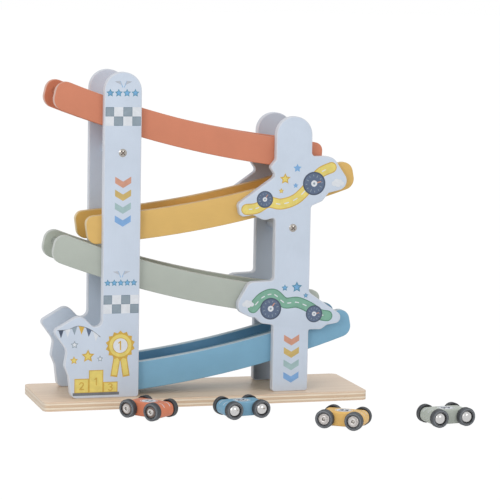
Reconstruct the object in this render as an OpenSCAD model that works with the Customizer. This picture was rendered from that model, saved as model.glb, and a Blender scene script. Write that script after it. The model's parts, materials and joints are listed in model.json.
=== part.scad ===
/* [Base] */
// Width of the base board
base_w = 347; // [335:1:400]
// Depth of the base board
base_d = 107; // [96:1:140]
// Thickness of the base board
base_t = 9.5; // [8:0.5:12]
// Corner radius of the base board
base_corner_r = 7; // [4:1:20]

/* [Posts] */
// Width of a post
post_w = 38.5; // [34:0.5:44]
// Thickness of the post boards
post_t = 9; // [7:0.5:12]
// Height of the left posts above the floor
left_post_h = 341; // [334:1:360]
// Height of the right posts above the floor
right_post_h = 296.5; // [290:0.5:315]
// Centre line of the left posts, from the middle
left_post_x = -90.2; // [-95:0.1:-86]
// Centre line of the right posts, from the middle
right_post_x = 91.5; // [87:0.5:96]
// Height of the middle of the upper side panel
upper_panel_z = 222.4; // [218:0.1:228]
// Height of the middle of the lower side panel
lower_panel_z = 102.5; // [98:0.1:108]
// Radius of the bottom corners of the posts
post_foot_r = 3; // [1:0.5:6]

/* [Ramps] */
// Radius of the curved top edge of a ramp
ramp_r = 980; // [850:10:1300]
// Height of the side rails of a ramp
rail_h = 29; // [26:0.5:34]
// Thickness of the side rails of a ramp
rail_t = 8; // [6:0.5:9]
// Clear width of the track between the rails
track_w = 44; // [40:0.5:50]
// Place of the ramps' middle, from the middle of the base
ramp_x = 0.7; // [-3:0.1:3]
// Reach of the high end of a ramp from its middle
high_reach = 158.5; // [150:0.5:165]
// Reach of the low end of a ramp from its middle
low_reach = 124.5; // [122:0.5:132]
// Slope at the middle of the two ramps that start on the left
slope_from_left = 12.1; // [11.4:0.1:12.4]
// Slope at the middle of the two ramps that start on the right
slope_from_right = 10.4; // [10:0.1:11]
// Height of the top ramp's upper edge at the middle
top_ramp_z = 287.2; // [285:0.1:291]
// Drop from each ramp to the next
ramp_drop = 77.4; // [75:0.1:77.6]
// Drop from the third ramp to the run-out ramp
last_drop = 78.1; // [76:0.1:78.5]
// Depth of the deck below the top edge of the rails
deck_depth = 9; // [7:0.5:11]
// Thickness of the deck
deck_t = 6; // [4:0.5:8]
// Distance of the deck from the rails' high end
deck_inset = 5; // [3:0.5:12]
// Length of the gap at the low end, where a car drops through
drop_gap = 30; // [24:1:36]
// Angle by which the high end of a rail is turned from square to the ramp towards upright
high_lean = 8.5; // [0:0.5:12]
// Upper corner radius at the high end of a rail
high_top_r = 11; // [6:0.5:12]
// Lower corner radius at the high end of a rail
high_low_r = 11.5; // [6:0.5:12]
// Upper corner radius at the low end of a rail
low_top_r = 7; // [5:0.5:9]
// Lower corner radius at the low end of a rail
low_low_r = 16; // [10:0.5:18]

/* [Spacers and screws] */
// Diameter of the round spacers between the posts
spacer_d = 15; // [12:0.5:18]
// Height of the left spacer
left_spacer_z = 259.5; // [256:0.5:262]
// Height of the right spacer
right_spacer_z = 181; // [178:0.5:184]
// Diameter of the screw heads
screw_head_d = 8.4; // [7:0.1:9.5]
// Diameter of the screw shanks
screw_d = 3.8; // [3:0.1:4.4]
// Length of a post screw under its face
post_screw_l = 28; // [20:1:34]
// Length of a base screw under its face
base_screw_l = 30; // [24:1:36]
// Distance between the two base screws of a post
base_screw_pitch = 20; // [14:1:24]

/* [Cars] */
// Length of a car's body ahead of the front axle
car_nose = 8.5; // [7:0.5:10]
// Length of a car's body behind the rear axle
car_tail = 7.5; // [6.5:0.5:10]
// Width of a car's body
car_w = 21.2; // [18:0.2:22]
// Height of a car's body, which is round at both ends
car_h = 14.5; // [12:0.5:16]
// Distance between the two axles
wheelbase = 30; // [28:0.5:30]
// Diameter of a wheel
wheel_d = 18.3; // [18:0.1:20.4]
// Width of a wheel
wheel_w = 6.4; // [5:0.1:7]
// Diameter of the recess in a wheel's face
recess_d = 12.6; // [11.6:0.1:13]
// Depth of the recess in a wheel's face
recess_deep = 1.2; // [1:0.1:2.2]
// Diameter of an axle
axle_d = 3.4; // [2.8:0.1:4]
// Diameter of the domed head of an axle
dome_d = 10.8; // [8:0.1:11]
// Height of the domed head of an axle
dome_h = 2.6; // [2:0.1:3.4]
// Diameter of the push-on cap
cap_d = 11.4; // [9:0.1:11.4]

/* [Fits] */
// Radial clearance of an axle that turns in a car's body
axle_gap = 0.08; // [0.04:0.01:0.1]
// Radial clearance of a pressed or screwed fit
press_gap = 0.02; // [0.01:0.01:0.03]
// Sideways play between a car's body and a wheel
side_play = 0.4; // [0.2:0.1:0.8]

/* [Hidden] */

// Angle between two points of a rounded corner
arc_step = 7.5;
// Number of straight pieces along each long curve of a ramp
curve_steps = 14;
// Length at each end of a rail that is kept free for its corner radii
end_margin = 23;
// Distance of the run-out ramp's deck from the rails' low end
run_out_gap = 8;
// Angle of a countersink, its depth follows from it
sink_angle = 90;
// Height of the raised middle of a screw head
screw_rise = 0.9;
// Width and length of one slot of a cross recess, and its depth
slot_w = 0.9;
slot_l = 4.6;
slot_deep = 1.6;
// Length of a screw's point
screw_tip = 3;
// Plan radius of the corners of a car's body
car_corner_r = 3;
// Radius of a car's ends in side view, as a share of the body's height
car_end_share = 0.45;
// Radius of a wheel's outer edges
tyre_edge = 0.9;
// Middle radius, width and depth of the groove in a tyre's side
groove_r = 7.3;
groove_w = 0.8;
groove_deep = 0.45;
// Diameters between which a wheel's inner side is hollow, and the hollow's share of what
// the recess leaves of the wheel's width
hub_d = 7;
hollow_d = 15.8;
hollow_share = 0.6;
// Thickness of the washer part of a cap, and of its raised middle
cap_washer = 0.9;
cap_boss = 0.9;
// Diameter of the raised middle of a cap
cap_boss_d = 7;
// Distance of an axle's end below the face of its cap
axle_end_deep = 0.8;
// Depth of a base screw's head below the underside
base_screw_sink = 0.5;
// Free depth of a screw hole beyond the screw's point
hole_spare = 0.5;

side = post_w / 2;
post_gap = track_w + 2 * rail_t;
post_front = -post_gap / 2 - post_t;
post_rear = post_gap / 2;
rail_front = -post_gap / 2;
rail_rear = track_w / 2;
screw_hole_d = screw_d + 2 * press_gap;
sink_deep = (screw_head_d - screw_d) / 2 / tan(sink_angle / 2);
axle_hole_d = axle_d + 2 * axle_gap;
wheel_hole_d = axle_d + 2 * press_gap;
car_end_r = car_end_share * car_h;
car_l = car_nose + wheelbase + car_tail;
hollow_deep = hollow_share * (wheel_w - recess_deep);
wheel_in = car_w / 2 + side_play;
wheel_out = wheel_in + wheel_w;
recess_floor = wheel_out - recess_deep;
cap_out = recess_floor + cap_washer + cap_boss;

terracotta = [0.81, 0.46, 0.34];
mustard = [0.85, 0.66, 0.34];
sage = [0.68, 0.72, 0.67];
blue = [0.43, 0.62, 0.73];
pale_blue = [0.77, 0.82, 0.88];
bare_wood = [0.87, 0.79, 0.66];
steel = [0.72, 0.71, 0.70];
tyre_grey = [0.29, 0.31, 0.32];

// Each ramp: height of its upper edge at the middle, slope there, and 1 or 0 for mirrored or not
terracotta_ramp = [top_ramp_z, slope_from_left, 0, drop_gap];
mustard_ramp = [top_ramp_z - ramp_drop, slope_from_right, 1, drop_gap];
sage_ramp = [top_ramp_z - 2 * ramp_drop, slope_from_left, 0, drop_gap];
blue_ramp = [top_ramp_z - 2 * ramp_drop - last_drop, slope_from_right, 1, run_out_gap];

// Each car: place on the floor of the middle between its axles, and its heading
terracotta_car = [-74.7, -98.3, -50.7];
blue_car = [18, -111.4, 189];
mustard_car = [101.8, -182.4, -36.2];
sage_car = [206.6, -189.7, 187.4];

// Outlines are lists of [x, z, corner radius], x from the post's centre line
function unit(v) = v / norm(v);
function spin(v, a) = [v.x * cos(a) - v.y * sin(a), v.x * sin(a) + v.y * cos(a)];
function xz(p) = [p.x, p.y];

// The points of one rounded corner b between its neighbours a and c
function corner(a, b, c, r) =
    let (
        u = unit(a - b),
        w = unit(c - b),
        between = acos(u * w),
        sweep = 180 - between,
        centre = b + unit(u + w) * r / sin(between / 2),
        from = b + u * r / tan(between / 2) - centre,
        way = u.x * w.y - u.y * w.x > 0 ? -1 : 1,
        n = ceil(sweep / arc_step)
    )
    [for (i = [0:n]) centre + spin(from, way * sweep * i / n)];

// A closed outline with every corner rounded by its own radius
function rounded(p) =
    let (n = len(p))
    [for (i = [0:n - 1]) each p[i][2] == 0
        ? [xz(p[i])]
        : corner(xz(p[(i + n - 1) % n]), xz(p[i]), xz(p[(i + 1) % n]), p[i][2])];

// The half-round top of a post, from its left side over to its right side
function crown(top) =
    [for (a = [180:-arc_step:0]) [side * cos(a), top - side + side * sin(a), 0]];

// Centre of a ramp's curves, which lies above the low end
function ramp_centre(ramp) = [ramp_r * sin(ramp[1]), ramp[0] + ramp_r * cos(ramp[1])];
// Angle, from straight down, at which the middle of a rail's height is at x
function angle_at(ramp, x) = asin((x - ramp_centre(ramp).x) / (ramp_r + rail_h / 2));
// The point at an angle on the curve that lies below the upper edge by a depth
function on_ramp(ramp, depth, angle) =
    ramp_centre(ramp) + (ramp_r + depth) * [sin(angle), -cos(angle)];

// Points along a curve between two angles, all sharp
function curve(ramp, depth, from, to) =
    [for (i = [0:curve_steps]) concat(on_ramp(ramp, depth, from + (to - from) * i / curve_steps), 0)];

function rail_outline(ramp) =
    let (
        high = angle_at(ramp, -high_reach),
        lean = atan(rail_h / 2 * tan(high_lean) / ramp_r),
        low = angle_at(ramp, low_reach),
        a = angle_at(ramp, end_margin - high_reach),
        b = angle_at(ramp, low_reach - end_margin)
    )
    concat(
        [concat(on_ramp(ramp, 0, high - lean), high_top_r)],
        curve(ramp, 0, a, b),
        [concat(on_ramp(ramp, 0, low), low_top_r), concat(on_ramp(ramp, rail_h, low), low_low_r)],
        curve(ramp, rail_h, b, a),
        [concat(on_ramp(ramp, rail_h, high + lean), high_low_r)]
    );

function deck_outline(ramp) =
    let (
        high = angle_at(ramp, deck_inset - high_reach),
        low = angle_at(ramp, low_reach - ramp[3])
    )
    concat(
        curve(ramp, deck_depth, high, low),
        curve(ramp, deck_depth + deck_t, low, high)
    );

function left_post_outline() = concat(
    [
        [-51.2, base_t, 7],
        [-53.7, 32.6, 8],
        [-58, 43.1, 5],
        [-55.5, 59.1, 10],
        [-70, 79.4, 4.5],
        [-41.8, 96, 9],
        [-side, 73, 6.8]
    ],
    crown(left_post_h),
    [[side, base_t, post_foot_r]]
);

function right_post_outline() = concat(
    [
        [-side, base_t, post_foot_r],
        [-side, lower_panel_z - 22.7, 3],
        [-32.6, lower_panel_z - 20.8, 8],
        [-39.1, lower_panel_z - 14.4, 3],
        [-44.1, lower_panel_z - 14.1, 8],
        [-62.1, lower_panel_z - 5.6, 10],
        [-46, lower_panel_z + 22.7, 9],
        [-side, lower_panel_z + 23.8, 4],
        [-side, upper_panel_z - 30.4, 3],
        [-31.6, upper_panel_z - 33.4, 10],
        [-43.1, upper_panel_z - 27.4, 4],
        [-56.7, upper_panel_z - 29.7, 4.5],
        [-59.6, upper_panel_z - 16, 5],
        [-side, upper_panel_z + 12.8, 4],
        [-side - 6.4, upper_panel_z + 21.6, 3],
        [-side, upper_panel_z + 29.5, 3]
    ],
    crown(right_post_h),
    [
        [side, upper_panel_z + 32.8, 4],
        [42.3, upper_panel_z + 32.8, 14],
        [64.4, upper_panel_z + 0.8, 10],
        [38.2, upper_panel_z - 5.3, 3],
        [31.4, upper_panel_z - 14, 6],
        [side, upper_panel_z - 19, 4],
        [side, lower_panel_z + 10.8, 5],
        [64.3, lower_panel_z - 20, 6.2],
        [39.4, lower_panel_z - 24.1, 4],
        [32.9, lower_panel_z - 28.6, 6],
        [side, lower_panel_z - 28.4, 2],
        [side, base_t, post_foot_r]
    ]
);

// A board that stands along the track, its front face at y
module board(y, t) {
    translate([0, y + t, 0]) rotate([90, 0, 0]) linear_extrude(t) children();
}

// A rod along y, in the middle between the posts
module rod(x, z, d, from, to) {
    translate([x, to, z]) rotate([90, 0, 0]) cylinder(h = to - from, d = d);
}

// A countersunk hole or the body of its screw, along -z from its face at z = 0
module sunk(length, d, head_d) {
    translate([0, 0, -length]) cylinder(h = length, d = d);
    translate([0, 0, -sink_deep]) cylinder(h = sink_deep, d1 = d, d2 = head_d);
}

// A cross-recessed wood screw, the rim of its head at z = 0 and its middle raised by rise
module screw(length, rise) {
    difference() {
        union() {
            sunk(length - screw_tip, screw_d, screw_head_d);
            translate([0, 0, -length]) cylinder(h = screw_tip, d1 = screw_d / 4, d2 = screw_d);
            if (rise > 0) dome(screw_head_d, rise);
        }
        for (a = [45, 135])
            rotate([0, 0, a])
            translate([-slot_l / 2, -slot_w / 2, rise - slot_deep])
            cube([slot_l, slot_w, slot_deep + rise + 1]);
    }
}

// A spherical cap that stands on z = 0
module dome(d, h) {
    r = (d * d / 4 + h * h) / (2 * h);
    intersection() {
        translate([0, 0, h - r]) sphere(r = r);
        cylinder(h = h, d = d);
    }
}

// A flat rectangle with round corners, its middle at the origin
module round_rect(l, w, r) {
    square([l - 2 * r, w], center = true);
    square([l, w - 2 * r], center = true);
    for (x = [-1, 1], y = [-1, 1])
        translate([x * (l / 2 - r), y * (w / 2 - r)]) circle(r = r);
}

// Every place of a base screw: x of the post, side of the track and place along the post
module each_base_screw() {
    for (x = [left_post_x, right_post_x], way = [-1, 1], i = [-1, 1])
        translate([x + i * base_screw_pitch / 2, way * (post_gap + post_t) / 2, 0])
        rotate([180, 0, 0])
        children();
}

// The outer face of a post at a spacer's height, -z pointing into the post; way is 1 in front
module at_post_screw(x, z, way) {
    translate([x, -way * (post_gap / 2 + post_t), z]) rotate([way * 90, 0, 0]) children();
}

// A post board on its base screws, with the hole of its spacer's screw
module post(outline, x, z, way) {
    difference() {
        board(way > 0 ? post_front : post_rear, post_t)
            translate([x, 0]) polygon(rounded(outline));
        at_post_screw(x, z, way)
            sunk(post_t * 2, screw_hole_d, screw_head_d + 2 * press_gap);
        each_base_screw() translate([0, 0, -base_screw_l - hole_spare])
            cylinder(h = base_screw_l, d = screw_hole_d);
    }
}

// One rail of a ramp, its front face at y
module rail(ramp, y) {
    translate([ramp_x, 0, 0]) mirror([ramp[2], 0, 0])
        board(y, rail_t) polygon(rounded(rail_outline(ramp)));
}

// The deck of a ramp, between its rails
module deck(ramp) {
    translate([ramp_x, 0, 0]) mirror([ramp[2], 0, 0])
        board(-track_w / 2, track_w) polygon(rounded(deck_outline(ramp)));
}

// A round spacer with a pilot hole in each end
module spacer(x, z) {
    difference() {
        rod(x, z, spacer_d, -post_gap / 2, post_gap / 2);
        for (way = [-1, 1])
            at_post_screw(x, z, way)
            translate([0, 0, -post_screw_l - hole_spare])
            cylinder(h = post_screw_l, d = screw_hole_d);
    }
}

// The place of a car on the floor, +x ahead
module at_car(car) {
    translate([car[0], car[1], 0]) rotate([0, 0, car[2]]) children();
}

// The middle of an axle: end is 1 for the front one, and z points left where to is 1
module at_axle(car, end, to) {
    at_car(car) translate([end * wheelbase / 2, 0, wheel_d / 2]) rotate([-90 * to, 0, 0]) children();
}

module body(car) {
    difference() {
        at_car(car) translate([(car_nose - car_tail) / 2, 0, wheel_d / 2]) intersection() {
            translate([0, car_w / 2, 0]) rotate([90, 0, 0]) linear_extrude(car_w)
                round_rect(car_l, car_h, car_end_r);
            translate([0, 0, -car_h / 2]) linear_extrude(car_h) round_rect(car_l, car_w, car_corner_r);
        }
        for (end = [-1, 1])
            at_axle(car, end, 1)
            translate([0, 0, -car_w])
            cylinder(h = 2 * car_w, d = axle_hole_d);
    }
}

// A wheel with a ribbed tyre side, a recess for the head or the cap, and a hollow inner side
module wheel(car, end, to) {
    color(tyre_grey) at_axle(car, end, to) translate([0, 0, wheel_in])
        rotate_extrude() polygon([
            [wheel_hole_d / 2, 0],
            [hub_d / 2, 0],
            [hub_d / 2, hollow_deep],
            [hollow_d / 2, hollow_deep],
            [hollow_d / 2, 0],
            [wheel_d / 2 - tyre_edge, 0],
            [wheel_d / 2, tyre_edge],
            [wheel_d / 2, wheel_w - tyre_edge],
            [wheel_d / 2 - tyre_edge, wheel_w],
            [groove_r + groove_w / 2, wheel_w],
            [groove_r, wheel_w - groove_deep],
            [groove_r - groove_w / 2, wheel_w],
            [recess_d / 2, wheel_w],
            [recess_d / 2, wheel_w - recess_deep],
            [wheel_hole_d / 2, wheel_w - recess_deep]
        ]);
}

// An axle with its domed head on the car's left
module axle(car, end) {
    color(steel) at_axle(car, end, 1) {
        translate([0, 0, axle_end_deep - cap_out])
            cylinder(h = recess_floor + cap_out - axle_end_deep, d = axle_d);
        translate([0, 0, recess_floor]) dome(dome_d, dome_h);
    }
}

// The push-on cap that holds the right wheel on the plain end of an axle
module cap(car, end) {
    color(steel) at_axle(car, end, -1) translate([0, 0, recess_floor]) difference() {
        union() {
            cylinder(h = cap_washer, d = cap_d);
            cylinder(h = cap_washer + cap_boss, d = cap_boss_d);
        }
        translate([0, 0, -1]) cylinder(h = cap_washer + cap_boss + 2, d = wheel_hole_d);
    }
}

module base_board() {
    color(bare_wood) difference() {
        linear_extrude(base_t) round_rect(base_w, base_d, base_corner_r);
        each_base_screw() {
            translate([0, 0, -base_screw_sink])
                sunk(base_t * 2, screw_hole_d, screw_head_d + 2 * press_gap);
            translate([0, 0, -base_screw_sink])
                cylinder(h = base_screw_sink * 2, d = screw_head_d + 2 * press_gap);
        }
    }
}

module post_screws() {
    color(steel) for (way = [-1, 1]) {
        at_post_screw(left_post_x, left_spacer_z, way) screw(post_screw_l, screw_rise);
        at_post_screw(right_post_x, right_spacer_z, way) screw(post_screw_l, screw_rise);
    }
}

module base_screws() {
    color(steel) each_base_screw() translate([0, 0, -base_screw_sink])
        screw(base_screw_l - base_screw_sink, 0);
}

module left_front_post() {
    color(pale_blue) post(left_post_outline(), left_post_x, left_spacer_z, 1);
}

module left_rear_post() {
    color(pale_blue) post(left_post_outline(), left_post_x, left_spacer_z, -1);
}

module right_front_post() {
    color(pale_blue) post(right_post_outline(), right_post_x, right_spacer_z, 1);
}

module right_rear_post() {
    color(pale_blue) post(right_post_outline(), right_post_x, right_spacer_z, -1);
}

module terracotta_front_rail() {
    color(terracotta) rail(terracotta_ramp, rail_front);
}

module terracotta_rear_rail() {
    color(terracotta) rail(terracotta_ramp, rail_rear);
}

module terracotta_deck() {
    color(terracotta) deck(terracotta_ramp);
}

module mustard_front_rail() {
    color(mustard) rail(mustard_ramp, rail_front);
}

module mustard_rear_rail() {
    color(mustard) rail(mustard_ramp, rail_rear);
}

module mustard_deck() {
    color(mustard) deck(mustard_ramp);
}

module sage_front_rail() {
    color(sage) rail(sage_ramp, rail_front);
}

module sage_rear_rail() {
    color(sage) rail(sage_ramp, rail_rear);
}

module sage_deck() {
    color(sage) deck(sage_ramp);
}

module blue_front_rail() {
    color(blue) rail(blue_ramp, rail_front);
}

module blue_rear_rail() {
    color(blue) rail(blue_ramp, rail_rear);
}

module blue_deck() {
    color(blue) deck(blue_ramp);
}

module left_spacer() {
    color(pale_blue) spacer(left_post_x, left_spacer_z);
}

module right_spacer() {
    color(pale_blue) spacer(right_post_x, right_spacer_z);
}

module terracotta_car_body() {
    color(terracotta) body(terracotta_car);
}

module terracotta_car_front_axle() {
    axle(terracotta_car, 1);
}

module terracotta_car_front_cap() {
    cap(terracotta_car, 1);
}

module terracotta_car_front_left_wheel() {
    wheel(terracotta_car, 1, 1);
}

module terracotta_car_front_right_wheel() {
    wheel(terracotta_car, 1, -1);
}

module terracotta_car_rear_axle() {
    axle(terracotta_car, -1);
}

module terracotta_car_rear_cap() {
    cap(terracotta_car, -1);
}

module terracotta_car_rear_left_wheel() {
    wheel(terracotta_car, -1, 1);
}

module terracotta_car_rear_right_wheel() {
    wheel(terracotta_car, -1, -1);
}

module blue_car_body() {
    color(blue) body(blue_car);
}

module blue_car_front_axle() {
    axle(blue_car, 1);
}

module blue_car_front_cap() {
    cap(blue_car, 1);
}

module blue_car_front_left_wheel() {
    wheel(blue_car, 1, 1);
}

module blue_car_front_right_wheel() {
    wheel(blue_car, 1, -1);
}

module blue_car_rear_axle() {
    axle(blue_car, -1);
}

module blue_car_rear_cap() {
    cap(blue_car, -1);
}

module blue_car_rear_left_wheel() {
    wheel(blue_car, -1, 1);
}

module blue_car_rear_right_wheel() {
    wheel(blue_car, -1, -1);
}

module mustard_car_body() {
    color(mustard) body(mustard_car);
}

module mustard_car_front_axle() {
    axle(mustard_car, 1);
}

module mustard_car_front_cap() {
    cap(mustard_car, 1);
}

module mustard_car_front_left_wheel() {
    wheel(mustard_car, 1, 1);
}

module mustard_car_front_right_wheel() {
    wheel(mustard_car, 1, -1);
}

module mustard_car_rear_axle() {
    axle(mustard_car, -1);
}

module mustard_car_rear_cap() {
    cap(mustard_car, -1);
}

module mustard_car_rear_left_wheel() {
    wheel(mustard_car, -1, 1);
}

module mustard_car_rear_right_wheel() {
    wheel(mustard_car, -1, -1);
}

module sage_car_body() {
    color(sage) body(sage_car);
}

module sage_car_front_axle() {
    axle(sage_car, 1);
}

module sage_car_front_cap() {
    cap(sage_car, 1);
}

module sage_car_front_left_wheel() {
    wheel(sage_car, 1, 1);
}

module sage_car_front_right_wheel() {
    wheel(sage_car, 1, -1);
}

module sage_car_rear_axle() {
    axle(sage_car, -1);
}

module sage_car_rear_cap() {
    cap(sage_car, -1);
}

module sage_car_rear_left_wheel() {
    wheel(sage_car, -1, 1);
}

module sage_car_rear_right_wheel() {
    wheel(sage_car, -1, -1);
}

base_board();
left_front_post();
left_rear_post();
right_front_post();
right_rear_post();
terracotta_front_rail();
terracotta_rear_rail();
terracotta_deck();
mustard_front_rail();
mustard_rear_rail();
mustard_deck();
sage_front_rail();
sage_rear_rail();
sage_deck();
blue_front_rail();
blue_rear_rail();
blue_deck();
left_spacer();
right_spacer();
post_screws();
base_screws();
terracotta_car_body();
terracotta_car_front_axle();
terracotta_car_rear_axle();
terracotta_car_front_cap();
terracotta_car_rear_cap();
terracotta_car_front_left_wheel();
terracotta_car_front_right_wheel();
terracotta_car_rear_left_wheel();
terracotta_car_rear_right_wheel();
blue_car_body();
blue_car_front_axle();
blue_car_rear_axle();
blue_car_front_cap();
blue_car_rear_cap();
blue_car_front_left_wheel();
blue_car_front_right_wheel();
blue_car_rear_left_wheel();
blue_car_rear_right_wheel();
mustard_car_body();
mustard_car_front_axle();
mustard_car_rear_axle();
mustard_car_front_cap();
mustard_car_rear_cap();
mustard_car_front_left_wheel();
mustard_car_front_right_wheel();
mustard_car_rear_left_wheel();
mustard_car_rear_right_wheel();
sage_car_body();
sage_car_front_axle();
sage_car_rear_axle();
sage_car_front_cap();
sage_car_rear_cap();
sage_car_front_left_wheel();
sage_car_front_right_wheel();
sage_car_rear_left_wheel();
sage_car_rear_right_wheel();
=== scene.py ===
"""Looks of a wooden toy car ramp and its four small cars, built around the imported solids.

Lengths are written in millimetres and made metres where a mesh is built. X runs along the
base, Y to the rear, Z up. The boards are computed from the solids' own outlines, and the
prints lie a hair in front of the faces that carry them.
"""
import json
import math
import bpy
import numpy as np
from mathutils import Matrix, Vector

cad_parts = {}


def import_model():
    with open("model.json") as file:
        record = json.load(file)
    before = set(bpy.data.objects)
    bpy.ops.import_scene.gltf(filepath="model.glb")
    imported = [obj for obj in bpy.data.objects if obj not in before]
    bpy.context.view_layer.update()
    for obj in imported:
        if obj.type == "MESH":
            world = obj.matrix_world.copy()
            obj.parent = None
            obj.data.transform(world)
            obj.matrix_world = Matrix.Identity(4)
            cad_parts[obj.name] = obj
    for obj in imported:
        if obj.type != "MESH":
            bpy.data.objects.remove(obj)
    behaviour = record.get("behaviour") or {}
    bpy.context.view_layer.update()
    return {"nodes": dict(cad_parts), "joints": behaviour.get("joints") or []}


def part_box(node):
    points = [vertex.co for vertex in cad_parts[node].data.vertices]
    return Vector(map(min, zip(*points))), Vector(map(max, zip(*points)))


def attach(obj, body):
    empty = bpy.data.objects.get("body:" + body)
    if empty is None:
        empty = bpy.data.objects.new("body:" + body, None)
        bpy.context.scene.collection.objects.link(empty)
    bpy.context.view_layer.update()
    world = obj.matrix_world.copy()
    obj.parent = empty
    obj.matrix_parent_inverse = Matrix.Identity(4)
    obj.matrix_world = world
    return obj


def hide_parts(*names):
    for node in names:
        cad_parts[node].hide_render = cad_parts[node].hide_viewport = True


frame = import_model()
MM = 0.001
NODES = frame["nodes"]


# ---------------------------------------------------------------- materials

def lin(r, g, b):
    """An sRGB colour from 0 to 255 as linear RGBA."""
    out = [c / 255 / 12.92 if c <= 10 else ((c / 255 + 0.055) / 1.055) ** 2.4 for c in (r, g, b)]
    return (*out, 1.0)


def shade(colour, k):
    """The colour times k, its alpha kept."""
    return (*[min(1.0, c * k) for c in colour[:3]], 1.0)


class Graph:
    """A small helper that adds nodes to one material and links them."""

    def __init__(self, name):
        self.mat = bpy.data.materials.new(name)
        self.mat.use_nodes = True
        self.tree = self.mat.node_tree
        self.bsdf = self.tree.nodes["Principled BSDF"]
        places = self.tree.nodes.new("ShaderNodeTexCoord")
        self.coord, self.normal = places.outputs["Object"], places.outputs["Normal"]

    def node(self, kind, **properties):
        n = self.tree.nodes.new(kind)
        for key, value in properties.items():
            setattr(n, key, value)
        return n

    def feed(self, socket, value):
        """Links a value that is a socket, and sets any other."""
        if hasattr(value, "is_linked"):
            self.tree.links.new(value, socket)
        else:
            socket.default_value = value

    def noise(self, scale, detail, rough=0.5, distort=0.0, stretch=(1, 1, 1)):
        """Noise over the object's coordinates, which are scaled by axis first."""
        where = self.node("ShaderNodeMapping")
        self.feed(where.inputs["Scale"], stretch)
        self.feed(where.inputs["Vector"], self.coord)
        n = self.node("ShaderNodeTexNoise")
        for key, value in (("Vector", where.outputs["Vector"]), ("Scale", scale),
                           ("Detail", detail), ("Roughness", rough), ("Distortion", distort)):
            self.feed(n.inputs[key], value)
        return n.outputs["Fac"]

    def ramp(self, fac, *stops):
        """A colour ramp through (place, colour) stops."""
        n = self.node("ShaderNodeValToRGB")
        while len(n.color_ramp.elements) < len(stops):
            n.color_ramp.elements.new(0.5)
        for e, (place, colour) in zip(n.color_ramp.elements, stops):
            e.position = place
            e.color = colour
        self.feed(n.inputs["Fac"], fac)
        return n.outputs["Color"]

    def tint(self, fac, colour, low, high, start=0.3, end=0.7):
        """The colour times low where fac is under start, and times high where it is over end."""
        return self.ramp(fac, (start, shade(colour, low)), (end, shade(colour, high)))

    def span(self, fac, low, high, start=0.0, end=1.0):
        """Maps the span from start to end onto low to high."""
        n = self.node("ShaderNodeMapRange")
        for key, value in (("Value", fac), ("From Min", start), ("From Max", end),
                           ("To Min", low), ("To Max", high)):
            self.feed(n.inputs[key], value)
        return n.outputs["Result"]

    def mix(self, fac, a, b):
        n = self.node("ShaderNodeMix", data_type="RGBA")
        for socket, value in ((n.inputs[0], fac), (n.inputs[6], a), (n.inputs[7], b)):
            self.feed(socket, value)
        return n.outputs[2]

    def blend(self, tone, other, share, fac, start, end):
        """Mixes the other colour in, by up to that share, as fac goes from start to end."""
        return self.mix(self.span(fac, 0.0, share, start, end), tone, other)

    def compute(self, operation, *values):
        """The result of one Math node."""
        n = self.node("ShaderNodeMath", operation=operation)
        for socket, value in zip(n.inputs, values):
            self.feed(socket, value)
        return n.outputs[0]

    def component(self, vector, axis):
        n = self.node("ShaderNodeSeparateXYZ")
        self.feed(n.inputs[0], vector)
        return n.outputs[axis]

    def bump(self, height, strength, distance):
        n = self.node("ShaderNodeBump")
        for key, value in (("Strength", strength), ("Distance", distance), ("Height", height)):
            self.feed(n.inputs[key], value)
        self.feed(self.bsdf.inputs["Normal"], n.outputs["Normal"])

    def done(self, colour, rough, **sockets):
        """Sets the shader's colour, roughness and other sockets, and returns the material."""
        self.feed(self.bsdf.inputs["Base Color"], colour)
        self.feed(self.bsdf.inputs["Roughness"], rough)
        for key, value in sockets.items():
            self.feed(self.bsdf.inputs[key.replace("_", " ")], value)
        return self.mat


def paint(name, colour, grain, foot=None):
    """Satin paint on a wooden board: faint mottling, fine fibres along the board, small pores.

    With foot, three numbers, shade is painted in towards the board's foot and its left edge: darker
    by the first, and fading out from the second to the third on x, in metres."""
    g = Graph(name)
    cloud = g.noise(38.0, 3.0)
    fibre = g.noise(900.0, 4.0, 0.6, stretch=grain)
    tone = g.tint(cloud, colour, 0.965, 1.03)
    tone = g.blend(tone, shade(colour, 0.8), 0.10, fibre, 0.35, 0.75)
    if foot:
        # Painted shade: darker low on the board and towards its left edge
        dark, near, far = foot
        low_down = g.span(g.component(g.coord, "Z"), 1.0, 0.0, 0.02, 0.07)
        to_the_left = g.span(g.component(g.coord, "X"), 1.0, 0.1, near, far)
        tone = g.mix(g.compute("MULTIPLY", low_down, to_the_left), tone, shade(colour, dark))
    speck = g.noise(1600.0, 2.0)
    g.bump(g.mix(0.5, fibre, speck), 0.12, 0.0003)
    return g.done(tone, g.span(cloud, 0.42, 0.55, 0.3, 0.7), Specular_IOR_Level=0.35)


def edge_paint(name, colour, grain, face=None, upper=1.0):
    """The paler, thinly painted edge of a board, where layers and fibres show through.

    With face, only the ends are that pale, the upper edge is so by the share upper, and the
    lower edge has the face's colour."""
    g = Graph(name)
    fibre = g.noise(700.0, 4.0, 0.6, stretch=grain)
    cloud = g.noise(60.0, 2.0)
    tone = g.tint(cloud, colour, 0.95, 1.03)
    tone = g.blend(tone, shade(colour, 0.78), 0.25, fibre, 0.35, 0.75)
    if face:
        sideways = g.compute("ABSOLUTE", g.component(g.normal, "X"))
        pale = g.compute("MAXIMUM", g.span(sideways, 0.0, 1.0, 0.45, 0.8),
                        g.span(g.component(g.normal, "Z"), 0.0, upper, 0.2, 0.8))
        tone = g.mix(pale, shade(face, 0.97), tone)
    g.bump(fibre, 0.2, 0.0004)
    return g.done(tone, 0.6, Specular_IOR_Level=0.3)


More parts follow.
